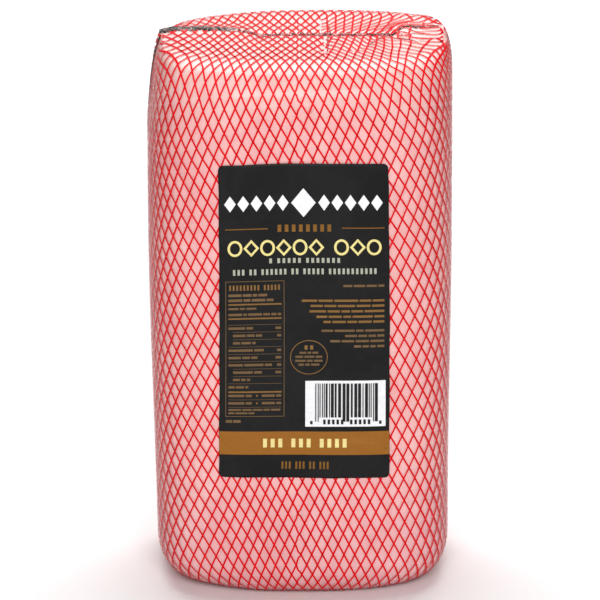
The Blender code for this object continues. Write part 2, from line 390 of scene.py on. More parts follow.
def edge_profile(part, power):
    """A quarter round: how far in and how far up it has come, each from 0 to 1."""
    angle = part * math.pi / 2.0
    inward = 1.0 - np.clip(np.cos(angle), 0.0, 1.0) ** (2.0 / power)
    upward = np.sin(angle) ** (2.0 / power)
    return inward, upward


def seam_line(x):
    """How far back of the middle the seal runs, at a place across the top."""
    at_left = smooth((-x - SEAM_EASE) / SEAM_EASE)
    at_right = smooth((x - JUNCTION) / JUNCTION_EASE)
    line = SEAM_BACK + (SEAM_BACK_AT_LEFT - SEAM_BACK) * at_left
    return line + (SEAM_BACK_AT_RIGHT - SEAM_BACK) * at_right


def cap_relief(x, y):
    """Height of the folds on the cap, above or below its plain level."""
    off_seam = y - seam_line(x)
    tucked = smooth((x - FIN_END) / FIN_EASE)
    tucked = tucked * smooth((JUNCTION + JUNCTION_EASE - x) / JUNCTION_EASE)
    relief = -SEAM_TUCK * tucked * bump(off_seam, SEAM_TUCK_WIDTH)
    raised = smooth((FIN_END - x) / FIN_EASE)
    relief = relief + FIN_RISE * raised * bump(off_seam, FIN_WIDTH)
    relief = relief + BACK_RIM_RISE * smooth((y - BACK_RIM_START) / BACK_RIM_RUN)
    behind = smooth((y - BACK_START) / BACK_RUN)
    relief = relief - BACK_LEFT_DROP * smooth((BACK_LEFT_START - x) / BACK_LEFT_RUN) * behind
    relief = relief + BACK_RIGHT_RISE * smooth((x - BACK_RIGHT_START) / BACK_RIGHT_RUN) * behind
    relief = relief - EAR_DROP * smooth((EAR_RUN - HALF_WIDTH - x) / EAR_RUN)
    # Gathers that run from the junction of the seal to the right-hand shoulder
    reach_x = x - JUNCTION
    ahead = smooth(reach_x / GATHER_EASE)
    ahead = ahead * smooth((GATHER_REACH - reach_x) / (2.0 * GATHER_EASE))
    for slope in GATHER_SLOPES:
        relief = relief - GATHER_DEPTH * ahead * bump(y - SEAM_BACK - slope * reach_x, FOLD_WIDTH)
    # A pucker in the seal left of the middle, and two folds that run forward from it
    pucker = bump(x - PUCKER_PLACE, FOLD_WIDTH) * bump(off_seam, PUCKER_REACH)
    relief = relief - FOLD_DEPTH * pucker
    forward = smooth(-off_seam / FORWARD_EASE) * smooth((FORWARD_REACH + off_seam) / FORWARD_EASE)
    for place, slope in FORWARD_FOLDS:
        relief = relief - FOLD_DEPTH * forward * bump(x - place - slope * off_seam, FOLD_WIDTH)
    return relief


def fine_relief(x, y):
    """Small gathers of the film beside the seal, finer than the solid shows."""
    off_seam = y - seam_line(x)
    near = bump(off_seam, RIPPLE_REACH)
    near = near * smooth((x + RIPPLE_END) / 0.03) * smooth((RIPPLE_END - x) / 0.02)
    short, long, shorter, backward = RIPPLE_WAVES
    ripple = np.sin(x * short + 2.0 * np.sin(x * long))
    ripple = ripple + 0.6 * np.sin(x * shorter + y * backward)
    back = smooth(off_seam / 0.004) * smooth((BACK_CREASE_REACH - off_seam) / 0.01)
    off_crease = x - BACK_CREASE_PLACE - BACK_CREASE_SLOPE * off_seam
    crease = -BACK_CREASE * back * bump(off_crease, BACK_CREASE_WIDTH)
    return RIPPLE * near * ripple + crease


def section_table():
    """Length round the plain section against turn, from the middle of the front."""
    turn = np.linspace(-0.5 * math.pi, 1.5 * math.pi, 8001)
    x, y = unit_section(turn)
    steps = np.hypot(np.diff(x * HALF_WIDTH), np.diff(y * HALF_DEPTH))
    return np.concatenate(([0.0], np.cumsum(steps))), turn


ROUND_TABLE, TURN_TABLE = section_table()
GIRTH = float(ROUND_TABLE[-1])


def station_table():
    """What the tube is like at each length along it, as columns of numbers.

    The columns are the length at the front, the length at the back, the shut part of the
    underside, the lower edge, the shoulder, the shut part of the cap, and the height.
    """
    part = np.linspace(0.0, 1.0, 161)
    none = np.zeros_like(part)
    full = np.ones_like(part)
    lower_in, lower_up = edge_profile(1.0 - part, BASE_EDGE_POWER)
    upper_in, upper_up = edge_profile(part, SHOULDER_POWER)
    wall = BASE_EDGE_UP + (HEIGHT - SHOULDER_UP - BASE_EDGE_UP) * part
    zones = (
        (1.0 - part, full, none, none, none),
        (none, lower_in, none, none, BASE_EDGE_UP * (1.0 - lower_up)),
        (none, none, none, none, wall),
        (none, none, upper_in, none, HEIGHT - SHOULDER_UP * (1.0 - upper_up)),
        (none, none, full, part, HEIGHT * full),
    )
    joined = [np.concatenate([zone[column] for zone in zones]) for column in range(5)]
    under, lower, upper, cap, height = joined
    runs = []
    for inset, seam in ((SHOULDER_FRONT, -SEAM_BACK), (SHOULDER_BACK, SEAM_BACK)):
        reach = (HALF_DEPTH - BASE_EDGE_FRONT * lower - inset * upper) * (1.0 - under)
        reach = reach * (1.0 - cap) + seam * cap
        steps = np.hypot(np.diff(reach), np.diff(height))
        runs.append(np.concatenate(([0.0], np.cumsum(steps))))
    return runs[0], runs[1], under, lower, upper, cap, height


STATIONS = station_table()
TUBE = float(STATIONS[0][-1])
TUBE_BACK = float(STATIONS[1][-1])
QUARTER = GIRTH / 4.0

# Ends of the seal on the side walls: name, place round the tube, how far below the top each
# starts, its length, and where the lines along it lie across it
SIDE_FINS = (
    ("side_fin_left", -QUARTER - SEAM_BACK_AT_LEFT, 0.0009, 0.102,
     (-0.0006, 0.0004, 0.0014, 0.0024)),
    ("side_fin_right", QUARTER + 0.004, 0.0012, 0.075, (0.0005, 0.0, -0.0006, -0.0012)),
)


def along_at(height):
    """Length along the tube at a height on the wall."""
    return float(np.interp(height, STATIONS[6], STATIONS[0]))


SHOULDER_START = along_at(HEIGHT - SHOULDER_UP)


def unit_place(around):
    """The place on the cross-section for half sizes of 1, for lengths round the tube."""
    return unit_section(np.interp(np.mod(around, GIRTH), ROUND_TABLE, TURN_TABLE))


def surface(around, along, lift=0.0):
    """Points of the film for lengths round and along the tube, lifted off it by a distance."""
    if np.any(lift):
        step = 0.0004
        here = surface(around, along)
        side = surface(around + step, along) - surface(around - step, along)
        inner = np.clip(along, step, TUBE - step)
        up = surface(around, inner + step) - surface(around, inner - step)
        normal = np.cross(side, up)
        size = np.linalg.norm(normal, axis=-1, keepdims=True)
        moved = here + normal / np.maximum(size, 1e-12) * lift
        moved[..., 2] = np.maximum(moved[..., 2], FLOOR_CLEAR * 0.3)
        return moved
    run = STATIONS[0]
    under, lower, upper, cap, height = (np.interp(along, run, column) for column in STATIONS[2:])
    unit_x, unit_y = unit_place(around)
    left = unit_x < 0.0

    def at_side(pair):
        """The value for the side that each place is on."""
        return np.where(left, *pair)

    lean = np.clip(1.0 - (HEIGHT - height) / LEAN_HEIGHT, 0.0, 1.0) ** LEAN_POWER
    low = np.clip(1.0 - height / at_side(TAPER_HEIGHT), 0.0, 1.0) ** at_side(TAPER_POWER)
    inset = at_side(BASE_EDGE_SIDE) * lower + at_side(SHOULDER_SIDE) * upper
    inset = inset + at_side(LEAN) * lean + at_side(TAPER) * low
    corner = at_side(BASE_CORNER) * smooth((np.abs(unit_x) - BASE_CORNER_START) / BASE_CORNER_SPAN)
    shoulder = np.where(unit_y < 0.0, SHOULDER_FRONT, SHOULDER_BACK)
    inset_y = (BASE_EDGE_FRONT + corner) * lower + shoulder * upper
    x = unit_x * (HALF_WIDTH - inset)
    y = unit_y * (HALF_DEPTH - inset_y) * (1.0 - cap) * (1.0 - under) + seam_line(x) * smooth(cap)
    folds = cap_relief(x, y) + fine_relief(x, y) * smooth(cap * 6.0)
    z = height + folds * smooth((height - HEIGHT + SHOULDER_UP) / SHOULDER_UP)
    middle = smooth(height / LUMP_EASE) * smooth((HEIGHT - height) / LUMP_EASE)
    swell = np.sin(x * LUMP_SIDE_WAVES[0] + height * LUMP_SIDE_WAVES[1])
    swell = swell + np.sin(y * LUMP_DEPTH_WAVES[0] - height * LUMP_DEPTH_WAVES[1] + LUMP_PHASE)
    deeper = 1.0 + LUMP / HALF_DEPTH * swell * middle
    wider = 1.0 + LUMP_ACROSS / HALF_WIDTH * swell * middle
    down = smooth((height - HEIGHT + SIDE_FIN_LENGTH) / SIDE_FIN_LENGTH)
    ridge = SIDE_FIN_RISE * down * bump(y - SEAM_BACK_AT_LEFT, SIDE_FIN_WIDTH) * left
    x = x * wider - ridge * (1.0 - smooth(cap * 4.0)) - FOOTPRINT_X
    return np.stack((x, y * deeper, np.maximum(z, FLOOR_CLEAR)), axis=-1)


def new_mesh(name, points, faces, material):
    """A smooth-shaded mesh object with one material."""
    mesh = bpy.data.meshes.new(name)
    mesh.from_pydata(np.asarray(points).tolist(), [], faces)
    mesh.shade_smooth()
    mesh.materials.append(material)
    mesh.validate()
    made = bpy.data.objects.new(name, mesh)
    bpy.context.scene.collection.objects.link(made)
    return made


def joined(piece, apart, outward=False):
    """A piece with the points joined that are no more than a distance apart."""
    form = bmesh.new()
    form.from_mesh(piece.data)
    bmesh.ops.remove_doubles(form, verts=form.verts, dist=apart)
    if outward:
        bmesh.ops.recalc_face_normals(form, faces=form.faces)
    form.to_mesh(piece.data)
    form.free()
    return piece


def grid_faces(rows, columns, corners=(0, 1, 2, 3), closed=False):
    """The faces between the rows of a grid of points, which may close on itself sideways."""
    index = np.arange(rows * columns).reshape(rows, columns)
    if closed:
        index = np.concatenate((index, index[:, :1]), axis=1)
    around = (index[:-1, :-1], index[:-1, 1:], index[1:, 1:], index[1:, :-1])
    return np.stack([around[corner] for corner in corners], axis=-1).reshape(-1, 4).tolist()


def keep(piece, slot, *nodes):
    """Ride a piece on the one body and hide the solid's nodes that it stands for; the slot is not
    used.
    """
    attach(piece, "root")
    if nodes:
        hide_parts(*nodes)


class Shader:
    """A node material, built up by short calls."""

    def __init__(self, name, **values):
        self.material = bpy.data.materials.new(name)
        self.material.use_nodes = True
        self.nodes = self.material.node_tree.nodes
        self.links = self.material.node_tree.links
        self.shader = self.nodes["Principled BSDF"]
        for key, value in values.items():
            self.shader.inputs[key.replace("_", " ")].default_value = value

    def add(self, kind, **inputs):
        """A node with some of its inputs set."""
        node = self.nodes.new(kind)
        for key, value in inputs.items():
            node.inputs[key.replace("_", " ")].default_value = value
        return node

    def feed(self, kind, source, socket, output, **inputs):
        """The named output of a new node that one output is fed to."""
        node = self.add(kind, **inputs)
        self.links.new(source, node.inputs[socket])
        return node.outputs[output]

    def own(self):
        """The object's own coordinates."""
        return self.nodes.new("ShaderNodeTexCoord").outputs["Object"]

    def place(self, scale=(1.0, 1.0, 1.0)):
        """The object's own coordinates, stretched."""
        return self.feed("ShaderNodeMapping", self.own(), "Vector", "Vector", Scale=scale)

    def axis(self, name):
        """How far along one axis of the object a place is."""
        return self.feed("ShaderNodeSeparateXYZ", self.own(), "Vector", name)

    def noise(self, vector, scale, detail=3.0, roughness=0.5, distortion=0.0):
        """A noise texture's value."""
        return self.feed("ShaderNodeTexNoise", vector, "Vector", "Fac", Scale=scale, Detail=detail,
                         Roughness=roughness, Distortion=distortion)

    def ramp(self, value, *stops):
        """A colour ramp; each stop is a place and a colour, or a grey as one number."""
        output = self.feed("ShaderNodeValToRGB", value, "Fac", "Color")
        elements = output.node.color_ramp.elements
        while len(elements) < len(stops):
            elements.new(0.5)
        for element, (place, colour) in zip(elements, stops):
            element.position = place
            element.color = (*colour, 1.0) if isinstance(colour, tuple) else (colour,) * 3 + (1.0,)
        return output

    def mix(self, factor, first, second, mode="MIX"):
        """Two colours mixed; each may be a colour or an output."""
        node = self.nodes.new("ShaderNodeMix")
        node.data_type = "RGBA"
        node.blend_type = mode
        for number, value in ((0, factor), (6, first), (7, second)):
            socket = node.inputs[number]
            if isinstance(value, bpy.types.NodeSocket):
                self.links.new(value, socket)
            elif isinstance(value, tuple):
                socket.default_value = (*value, 1.0)
            else:
                socket.default_value = value
        return node.outputs[2]

    def bump(self, value, distance, strength=1.0, target="Normal"):
        """Bump from a value into the shader's normal or coat normal."""
        normal = self.feed("ShaderNodeBump", value, "Height", "Normal", Strength=strength,
                           Distance=distance)
        self.links.new(normal, self.shader.inputs[target])

    def span(self, value, low, high):
        """A smooth step from 0 to 1 as a value goes from low to high."""
        output = self.feed("ShaderNodeMapRange", value, "Value", "Result", From_Min=low,
                           From_Max=high)
        output.node.interpolation_type = "SMOOTHSTEP"
        return output

    def add_noise(self, value, noise, size):
        """A value with some noise added, as much as size either way."""
        lowered = self.feed("ShaderNodeMath", value, 0, 0)
        lowered.node.operation = "SUBTRACT"
        lowered.node.inputs[1].default_value = size
        summed_up = self.feed("ShaderNodeMath", noise, 0, 0)
        summed_up.node.operation = "MULTIPLY_ADD"
        summed_up.node.inputs[1].default_value = size * 2.0
        self.links.new(lowered, summed_up.node.inputs[2])
        return summed_up

    def film_gloss(self):
        """The same long faint wrinkles of the film, on everything that lies under its gloss."""
        long_way = self.place((1.0, 1.0, 0.3))
        wrinkle = self.noise(long_way, 48.0, 2.0, 0.45, 1.0)
        self.bump(wrinkle, 0.001, 0.45, "Coat Normal")

    def paint(self, colour):
        """Feed a colour to the shader."""
        self.links.new(colour, self.shader.inputs["Base Color"])


def meat_material():
    """Pale pink cooked ham: soft mottling, a few paler fat marks and small dark red specks.

    It is palest on the end and along the shoulder, partly where the film stands a little off it
    and partly as painted highlight from the light above; it is a little darker towards the foot,
    as painted shade.
    """
    made = Shader("ham_meat", Roughness=0.42, Specular_IOR_Level=0.2, Subsurface_Weight=0.1,
                  Subsurface_Scale=0.003, Coat_Weight=0.22, Coat_Roughness=0.12, Coat_IOR=1.4)
    made.shader.inputs["Subsurface Radius"].default_value = (1.0, 0.45, 0.35)
    where = made.place((1.0, 1.0, 0.75))
    broad = made.noise(where, 26.0, 4.0, 0.55, 0.6)
    fine = made.noise(where, 120.0, 5.0, 0.6, 0.3)
    flesh = made.ramp(broad, (0.32, (0.77, 0.36, 0.355)), (0.5, (0.83, 0.44, 0.43)),
                      (0.68, (0.88, 0.53, 0.51)))
    grain = made.ramp(fine, (0.34, (0.74, 0.34, 0.34)), (0.52, (0.82, 0.44, 0.43)),
                      (0.72, (0.9, 0.58, 0.555)))
    colour = made.mix(0.42, flesh, grain)
    height = made.axis("Z")
    # Painted shade: the meat is made a little darker towards the foot
    low = made.span(height, 0.02, 0.095)
    colour = made.mix(low, made.mix(1.0, colour, (0.95, 0.95, 1.0), "MULTIPLY"), colour)
    # Paler band along the shoulder: partly the film standing off the meat, partly painted
    # highlight from the light above
    pale = made.span(made.add_noise(height, broad, 0.01), 0.267, 0.292)
    paler = made.ramp(fine, (0.35, (0.81, 0.48, 0.45)), (0.6, (0.85, 0.56, 0.52)))
    colour = made.mix(pale, colour, paler)
    # Palest on the end: partly the film standing off the meat, partly painted highlight on the top
    # that faces the light
    end = made.span(height, 0.2945, 0.2985)
    palest = made.ramp(fine, (0.35, (0.96, 0.66, 0.62)), (0.6, (0.98, 0.76, 0.72)))
    colour = made.mix(end, colour, palest)
    cells = made.feed("ShaderNodeTexVoronoi", where, "Vector", "Distance", Scale=46.0)
    specks = made.ramp(cells, (0.0, 1.0), (0.055, 0.8), (0.11, 0.0))
    chosen = made.ramp(made.noise(where, 33.0, 1.0), (0.5, 0.0), (0.56, 1.0))
    mask = made.mix(1.0, specks, chosen, "MULTIPLY")
    made.paint(made.mix(mask, colour, (0.45, 0.08, 0.08)))
    made.film_gloss()
    return made.material


def film_material():
    """Clear shrink film: nearly all see-through, faintly pink from what lies behind it."""
    made = Shader("clear_film", Roughness=0.15, Alpha=0.03)
    where = made.place()
    tone = made.noise(where, 60.0, 2.0)
    made.paint(made.ramp(tone, (0.3, (0.86, 0.42, 0.4)), (0.7, (0.92, 0.52, 0.5))))
    made.bump(made.noise(where, 48.0, 2.0, 0.45, 1.0), 0.001, 0.45)
    return made.material


def net_material():
    """Red ink under gloss, a little uneven in depth, and painted brighter on the end as a painted
    highlight of the light from above.
    """
    made = Shader("net_ink", Roughness=0.45, Specular_IOR_Level=0.08)
    where = made.place()
    uneven = made.noise(where, 240.0, 2.0)
    colour = made.ramp(uneven, (0.3, (0.62, 0.002, 0.005)), (0.7, (0.74, 0.003, 0.008)))
    # Painted highlight: the lines on the end are painted a brighter red, where the light from
    # above falls
    top = made.span(made.axis("Z"), 0.27, 0.292)
    made.paint(made.mix(top, colour, (0.8, 0.009, 0.017)))
    made.bump(uneven, 0.0002, 0.3)
    return made.material


def seal_material():
    """Several layers of film pressed together: dark grey-brown, and redder in the middle, where
    the net's lines crowd into it. Its paler glints are painted highlight, the black spots along
    its crumples are painted shade, and its left end is darkened further as painted shade.
    """
    made = Shader("seal_film", Roughness=0.34, Specular_IOR_Level=0.4)
    where = made.place((1.0, 1.0, 1.6))
    crumple = made.noise(where, 420.0, 4.0, 0.65, 0.8)
    # The crumples' darkest stops are painted shade and their palest stops are painted highlight
    # glints
    grey = made.ramp(crumple, (0.42, (0.006, 0.004, 0.004)), (0.48, (0.06, 0.038, 0.034)),
                     (0.54, (0.15, 0.1, 0.09)), (0.61, (0.55, 0.42, 0.39)))
    red = made.ramp(crumple, (0.42, (0.04, 0.01, 0.012)), (0.49, (0.24, 0.035, 0.04)),
                    (0.55, (0.42, 0.14, 0.13)), (0.61, (0.75, 0.45, 0.43)))
    across = made.axis("X")
    middle = made.mix(made.span(across, -0.046, -0.022), grey, red)
    ends = made.mix(made.span(across, 0.072, 0.079), middle, grey)
    below = made.span(made.axis("Z"), 0.288, 0.262)
    # Painted shade: the left end of the seal, where it turns down the side, is darkened
    dark = made.mix(1.0, ends, (0.3, 0.26, 0.26), "MULTIPLY")
    left_end_shaded = made.mix(made.span(across, -0.072, -0.077), ends, dark)
    flat = made.ramp(crumple, (0.44, (0.05, 0.045, 0.045)), (0.6, (0.24, 0.18, 0.17)))
    made.paint(made.mix(below, left_end_shaded, flat))
    made.bump(crumple, 0.0008, 0.7)
    return made.material


def fold_shadow_material():
    """Film folded over the printed meat: dark red as a painted shadow of the fold, with paler
    stops as painted glints along its crumples.
    """
    made = Shader("fold_shadow_film", Roughness=0.35, Specular_IOR_Level=0.3)
    where = made.place()
    crumple = made.noise(where, 330.0, 3.0, 0.6, 0.5)
    # Painted shadow of the fold in the dark stops, painted glints in the palest
    made.paint(made.ramp(crumple, (0.36, (0.2, 0.02, 0.024)), (0.52, (0.5, 0.09, 0.09)),
                         (0.66, (0.8, 0.42, 0.4))))
    made.bump(crumple, 0.0005, 0.6)
    return made.material


def label_material():
    """Near-black coated label, faintly mottled, with a soft sheen; broad lighter and darker
    patches over it are painted sheen and painted shade of its wrinkles.
    """
    made = Shader("label_black", Roughness=0.45, Specular_IOR_Level=0.18)
    where = made.place()
    tone = made.noise(where, 300.0, 3.0)
    broad = made.noise(where, 34.0, 3.0, 0.55, 0.8)
    dark = made.ramp(tone, (0.3, (0.005, 0.0049, 0.005)), (0.7, (0.0075, 0.0073, 0.0075)))
    # Painted sheen and painted shade of wrinkles: broad patches made lighter and darker
    sheen_and_wrinkle_shade = made.ramp(broad, (0.36, 0.55), (0.52, 1.0), (0.7, 1.25))
    made.paint(made.mix(1.0, dark, sheen_and_wrinkle_shade, "MULTIPLY"))
    made.bump(broad, 0.0006, 0.25)
    return made.material


def ink_material(name):
    """A flat printing ink with the grain of the label under it, and paler streaks crossways that
    are painted glints off the film's wrinkles.
    """
    colour = INKS[name]
    made = Shader("ink_" + name, Roughness=0.45, Specular_IOR_Level=0.18)
    tone = made.noise(made.place(), 420.0, 2.0)
    # Painted highlight: paler crossways streaks stand for glints off the film's wrinkles
    glint_streak = made.noise(made.place((0.12, 1.0, 1.0)), 190.0, 3.0, 0.5, 0.4)
    ink = made.ramp(tone, (0.3, tuple(part * 0.92 for part in colour)), (0.7, colour))
    paler = tuple(min(1.0, part * 1.25 + 0.02) for part in colour)
    made.paint(made.mix(made.ramp(glint_streak, (0.58, 0.0), (0.74, 0.6)), ink, paler))
    return made.material


def rows_along(wall, base, shoulder, cap):
    """Lengths along the tube with the given spacing in each of its zones."""
    edges = (0.0, along_at(BASE_EDGE_UP), SHOULDER_START, SHOULDER_START + SHOULDER_RUN, TUBE)
    rows = [np.linspace(low, high, max(2, round((high - low) / gap)), endpoint=False)
            for low, high, gap in zip(edges, edges[1:], (base, wall, shoulder, cap))]
    return np.concatenate(rows + [np.array([TUBE])])


def make_shell(name, columns, rows, lift, material):
    """A closed skin over the whole block, off the film's own surface by a distance."""
    around = np.linspace(0.0, GIRTH, columns, endpoint=False)
    grid_around, grid_along = np.meshgrid(around, rows)
    points = surface(grid_around, grid_along, lift).reshape(-1, 3)
    faces = grid_faces(len(rows), columns, closed=True)
    return joined(new_mesh(name, points, faces, material), JOIN_SHELL, outward=True)


def from_seal(along):
    """Distance from the end seal along the front of the tube."""
    return TUBE - along


def straight_across(place):
    """Film that runs straight across the end at a place round it, the rest tucked in."""
    tucked = smooth((np.abs(place) - QUARTER + TUCK) / TUCK)
    return unit_place(place)[0] * HALF_WIDTH + np.sign(place) * (QUARTER - HALF_WIDTH) * tucked


def read(table, place):
    """What a table of places and values says at each place."""
    return np.interp(place, *zip(*table))


def film_around(around, along):
    """Where the print of each place sits round the film, once drawn and gathered by the seal."""
    seal = from_seal(along)
    gather = read(NET_GATHER, seal) - 1.0
    drawn = DRAW_SHIFT * np.clip(1.0 - seal / DRAW_RUN, 0.0, 1.0) ** DRAW_POWER
    forked = JUNCTION_SHIFT * np.clip(1.0 - seal / JUNCTION_RUN, 0.0, 1.0)
    faded = smooth((seal - CREASE_RUN + CREASE_EASE) / (2.0 * CREASE_EASE))
    crease_width = CREASE_WIDTH + CREASE_WIDER * faded
    place = np.mod(around + QUARTER, GIRTH) - QUARTER
    total = around
    for mirrored, crease_shift in ((False, CREASE_SHIFT_FRONT), (True, CREASE_SHIFT_BACK)):
        # A place exactly at a side counts as part of the front
        x = GIRTH / 2.0 - place if mirrored else place
        inside = np.abs(x) < QUARTER - 1e-9 if mirrored else np.abs(x) <= QUARTER + 1e-9
        x = np.clip(x, -QUARTER, QUARTER)
        flat_end = np.where(x < 0.0, FLAT_FADED_LEFT, FLAT_FADED_RIGHT)
        flat = 1.0 - smooth((seal - FLAT_TO) / (flat_end - FLAT_TO))
        spread = np.clip((QUARTER - np.abs(x)) / (QUARTER - GATHER_FADE), 0.0, 1.0)
        shift = gather * x * spread + flat * (straight_across(x) - x)
        stretched = np.where(x < 0.0, read(SIDE_LEFT, seal), read(SIDE_RIGHT, seal))
        if mirrored:
            reach = (np.abs(x) - SIDE_START_BACK) / (QUARTER - SIDE_START_BACK)
            shape = -SIDE_END * smooth(reach)
        else:
            shape = read(SIDE_SHAPE, np.abs(x))
        shift = shift - np.sign(x) * stretched * shape
        crease = crease_shift * np.clip(1.0 - seal / CREASE_RUN, 0.0, 1.0)
        pull = crease * smooth((x - CREASE) / crease_width + 0.5)
        pull = pull + drawn * smooth((x - DRAW_START) / DRAW_WIDTH)
        pull = pull + forked * smooth((x - JUNCTION) / JUNCTION_WIDTH + 0.5)
        shift = shift + pull * np.clip((QUARTER - x) / (QUARTER - PULL_FADE), 0.0, 1.0)
        total = total + np.where(inside, -shift if mirrored else shift, 0.0)
    return total


def summed(table):
    """A table of values by distance from the seal, summed along the tube."""
    seal = np.linspace(0.0, TUBE, 2001)
    values = read(table, seal)
    total = np.concatenate(([0.0], np.cumsum((values[1:] + values[:-1]) / 2.0 * np.diff(seal))))
    return seal, total


LEAN_TABLE = summed(NET_LEAN)
COUNT_TABLE = summed([(seal, 1.0 / gap) for seal, gap in NET_ALONG])


def net_lean(along):
    """How far the lattice has slipped round the tube, from its place at the seal."""
    return np.interp(from_seal(along), *LEAN_TABLE) - np.interp(NET_PLACE[1], *LEAN_TABLE)


def net_count(around, along):
    """How many crossings there are along the tube from the seal to each place."""
    front = np.mod(around + QUARTER, GIRTH) <= GIRTH / 2.0
    back_along = TUBE_BACK - np.interp(along, STATIONS[0], STATIONS[1])
    middle = np.where(front, from_seal(along), back_along)
    unit_x = unit_place(around)[0]
    here = surface(around, along)
    drop = np.clip(HEIGHT - here[..., 2], 0.0, None)
    off_seam = np.abs(here[..., 1] - seam_line(here[..., 0] + FOOTPRINT_X))
    wall = from_seal(SHOULDER_START) - SHOULDER_UP
    hang = np.where(unit_x < 0.0, read(HANG_LEFT, drop), read(HANG_RIGHT, drop))
    edge = drop + wall * (1.0 - np.exp(-drop / EDGE_RUN)) - hang
    edge = edge + off_seam * np.exp(-drop / EDGE_CAP)
    near_edge = unit_x ** 2
    seal = middle * (1.0 - near_edge) + edge * near_edge
    seal = seal + read(NET_TILT, from_seal(along)) * unit_x * HALF_WIDTH
    return np.interp(seal, *COUNT_TABLE) - np.interp(NET_PLACE[1], *COUNT_TABLE)


def net_phase(around, along, direction):
    """A number that is whole on each line of one family of the net."""
    pitch = GIRTH / round(GIRTH / NET_ROUND)
    start = film_around(np.array([NET_PLACE[0]]), np.array([TUBE - NET_PLACE[1]]))[0]
    film = film_around(around, along) + net_lean(along) - start
    return film / pitch + direction * net_count(around, along) + 1e-7


def line_segments(phase, around, along):
    """Short pieces of the lines on which a phase, known on a grid, is a whole number.

    Each cell of the grid is two triangles, and a line crosses a triangle from side to side.
    Gives the two ends of each piece, as lengths round and along.
    """
    corner = np.stack((around, along, phase), axis=-1)
    low_left, low_right = corner[:-1, :-1], corner[:-1, 1:]
    high_left, high_right = corner[1:, :-1], corner[1:, 1:]
    halves = ((low_left, low_right, high_right), (low_left, high_right, high_left))
    triangles = np.concatenate([np.stack(half, axis=2).reshape(-1, 3, 3) for half in halves])
    first = np.floor(triangles[:, :, 2].min(axis=1)) + 1.0
    ends = []
    for more in range(3):
        level = first + more
        reached = level < triangles[:, :, 2].max(axis=1)
        crossed = triangles[reached]
        level = level[reached][:, None]
        after = np.roll(crossed, -1, axis=1)
        here = crossed[:, :, 2] - level
        there = after[:, :, 2] - level
        cut = here * there < 0.0
        share = np.where(cut, here / np.where(cut, here - there, 1.0), 0.0)[..., None]
        points = crossed[:, :, :2] + (after[:, :, :2] - crossed[:, :, :2]) * share
        order = np.argsort(~cut, axis=1, kind="stable")[:, :2, None]
        both = np.take_along_axis(points, np.repeat(order, 2, axis=2), axis=1)
        ends.append(both[cut.sum(axis=1) == 2])
    return np.concatenate(ends)


def line_frame(around, along, direction):
    """A line's middle, half its width as a vector, its way, and its distance to the next."""

    def slopes(found, *more):
        """How fast something changes round the tube and along it."""
        span = 2.0 * SLOPE_STEP
        return (
            (found(around + SLOPE_STEP, along, *more)
             - found(around - SLOPE_STEP, along, *more)) / span,
            (found(around, along + SLOPE_STEP, *more)
             - found(around, along - SLOPE_STEP, *more)) / span,
        )

    phase_round, phase_along = slopes(net_phase, direction)
    round_way, along_way = slopes(surface)
    way = round_way * -phase_along[..., None] + along_way * phase_round[..., None]
    normal = np.cross(round_way, along_way)
    side = np.cross(normal, way)
    side = side / np.maximum(np.linalg.norm(side, axis=-1, keepdims=True), 1e-12)
    steepness = np.linalg.norm(way, axis=-1) / np.maximum(np.linalg.norm(normal, axis=-1), 1e-12)
    at_side = smooth((np.abs(unit_place(around)[0]) - SIDE_WIDER_FROM) / SIDE_WIDER_OVER)
    width = NET_LINE * (1.0 + SIDE_WIDER * at_side)
    half = side * width[..., None] / 2.0
    return surface(around, along, PRINT_LIFT), half, way, 1.0 / np.maximum(steepness, 1e-6)


def make_net(material):
    """The printed net: two families of ribbons that cross in diamonds all over the film."""
    coarser, finer = NET_STEP * 1.3, NET_STEP * 0.7
    rows = rows_along(coarser, NET_STEP, finer, finer)[1:-1]
    columns = np.linspace(0.0, GIRTH, round(GIRTH / NET_STEP) + 1)
    fine = np.linspace(-NET_FINE_REACH, NET_FINE_REACH, NET_FINE_COLUMNS)
    columns = np.unique(np.concatenate((columns, CREASE + fine, GIRTH / 2.0 - CREASE + fine)))
    around, along = np.meshgrid(columns, rows)
    quads = []
    for direction in (1.0, -1.0):
        ends = line_segments(net_phase(around, along, direction), around, along)
        middle, half, way, apart = line_frame(ends[..., 0], ends[..., 1], direction)
        shown = (apart > NET_CLOSEST).all(axis=1)
        shown &= np.linalg.norm(middle[:, 1] - middle[:, 0], axis=-1) > NET_SHORTEST
        middle, half, way = middle[shown], half[shown], way[shown]
        backwards = ((middle[:, 1] - middle[:, 0]) * way[:, 0]).sum(axis=-1) < 0.0
        middle[backwards] = middle[backwards, ::-1]
        half[backwards] = half[backwards, ::-1]
        quads.append(np.stack((middle[:, 0] - half[:, 0], middle[:, 1] - half[:, 1],
                               middle[:, 1] + half[:, 1], middle[:, 0] + half[:, 0]), axis=1))
    points = np.concatenate(quads).reshape(-1, 3)
    faces = np.arange(len(points)).reshape(-1, 4).tolist()
    return joined(new_mesh("net_print", points, faces, material), JOIN_PRINT)


def cap_point(x, y, rise):
    """A point above the cap."""
    z = HEIGHT + cap_relief(x, y) + fine_relief(x, y) + rise
    return np.stack((x - FOOTPRINT_X, y, z), axis=-1)


def make_strip(name, lines, material):
    """A folded strip through several lines of points, each as long as the others."""
    faces = grid_faces(len(lines), len(lines[0]))
    return new_mesh(name, np.concatenate(lines), faces, material)


